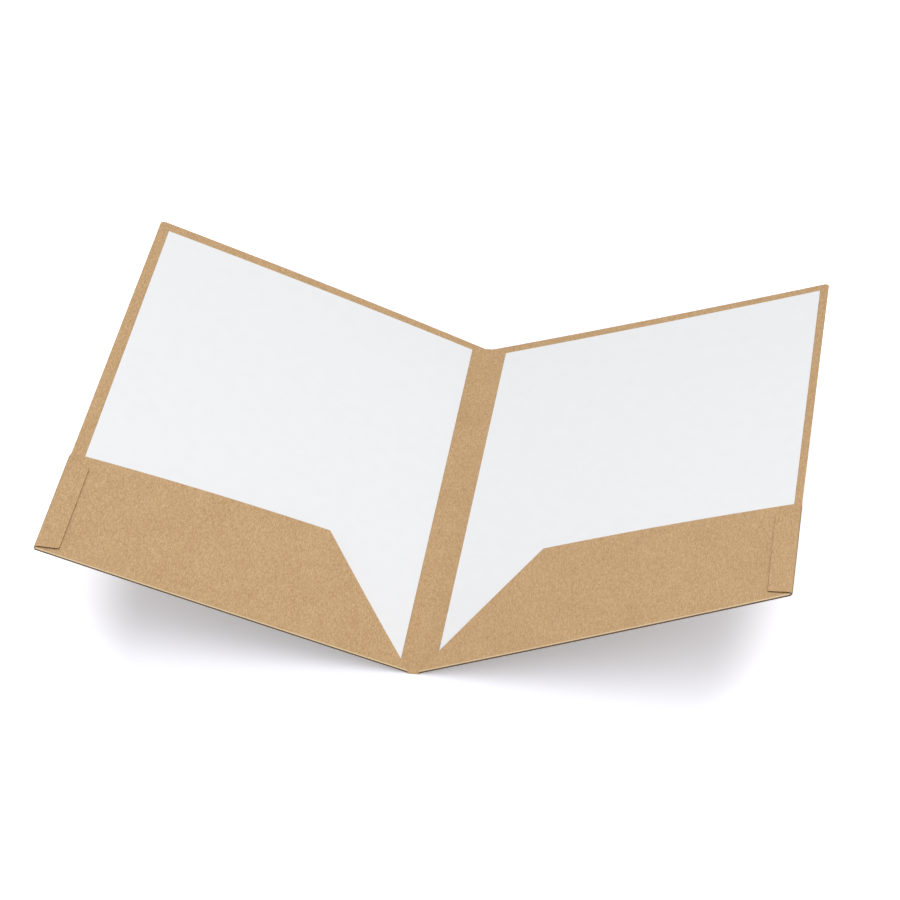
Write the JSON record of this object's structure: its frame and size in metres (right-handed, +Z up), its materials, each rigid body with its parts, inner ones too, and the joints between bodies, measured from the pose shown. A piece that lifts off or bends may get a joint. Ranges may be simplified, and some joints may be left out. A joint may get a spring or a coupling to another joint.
{
  "type": "two pocket folder",
  "caption": "Kraft board presentation folder standing open on its spine, with a slant-cut glued pocket on each cover that holds a loose paper sheet. The covers fold shut.",
  "frame": {"origin": "middle of the spine's underside, on the surface that the folder stands on", "axes": "+Z up, +X towards the right cover, +Y along the spine from the pocket end to the top"},
  "size_m": [0.4296, 0.31, 0.0793],
  "materials": {
    "kraft_board": "matte uncoated solid kraft board",
    "white_paper": "matte uncoated white",
    "glue": "dried clear glue"
  },
  "bodies": {
    "spine": {"spine_panel": "kraft_board", "left_spine_crease": "kraft_board", "right_spine_crease": "kraft_board"},
    "left_cover": {"left_cover": "kraft_board", "left_bottom_fold": "kraft_board", "left_pocket": "kraft_board", "left_tab_fold": "kraft_board", "left_glue_tab": "kraft_board", "left_glue_line": "glue"},
    "right_cover": {"right_cover": "kraft_board", "right_bottom_fold": "kraft_board", "right_pocket": "kraft_board", "right_tab_fold": "kraft_board", "right_glue_tab": "kraft_board", "right_glue_line": "glue"},
    "left_sheet": {"left_sheet": "white_paper"},
    "right_sheet": {"right_sheet": "white_paper"}
  },
  "joints": [
    {"name": "left_cover_fold", "type": "hinge", "parent": "spine", "child": "left_cover", "pos_m": [-0.0025, 0, 0.00025], "axis": [0, 1, 0], "range_deg": [-18, 70]},
    {"name": "right_cover_fold", "type": "hinge", "parent": "spine", "child": "right_cover", "pos_m": [0.0025, 0, 0.00025], "axis": [0, -1, 0], "range_deg": [-18, 70]},
    {"name": "left_sheet_slide", "type": "slide", "parent": "left_cover", "child": "left_sheet", "axis": [0, 1, 0], "range_m": [-0.004, 0.306]},
    {"name": "right_sheet_slide", "type": "slide", "parent": "right_cover", "child": "right_sheet", "axis": [0, 1, 0], "range_m": [-0.004, 0.306]}
  ]
}
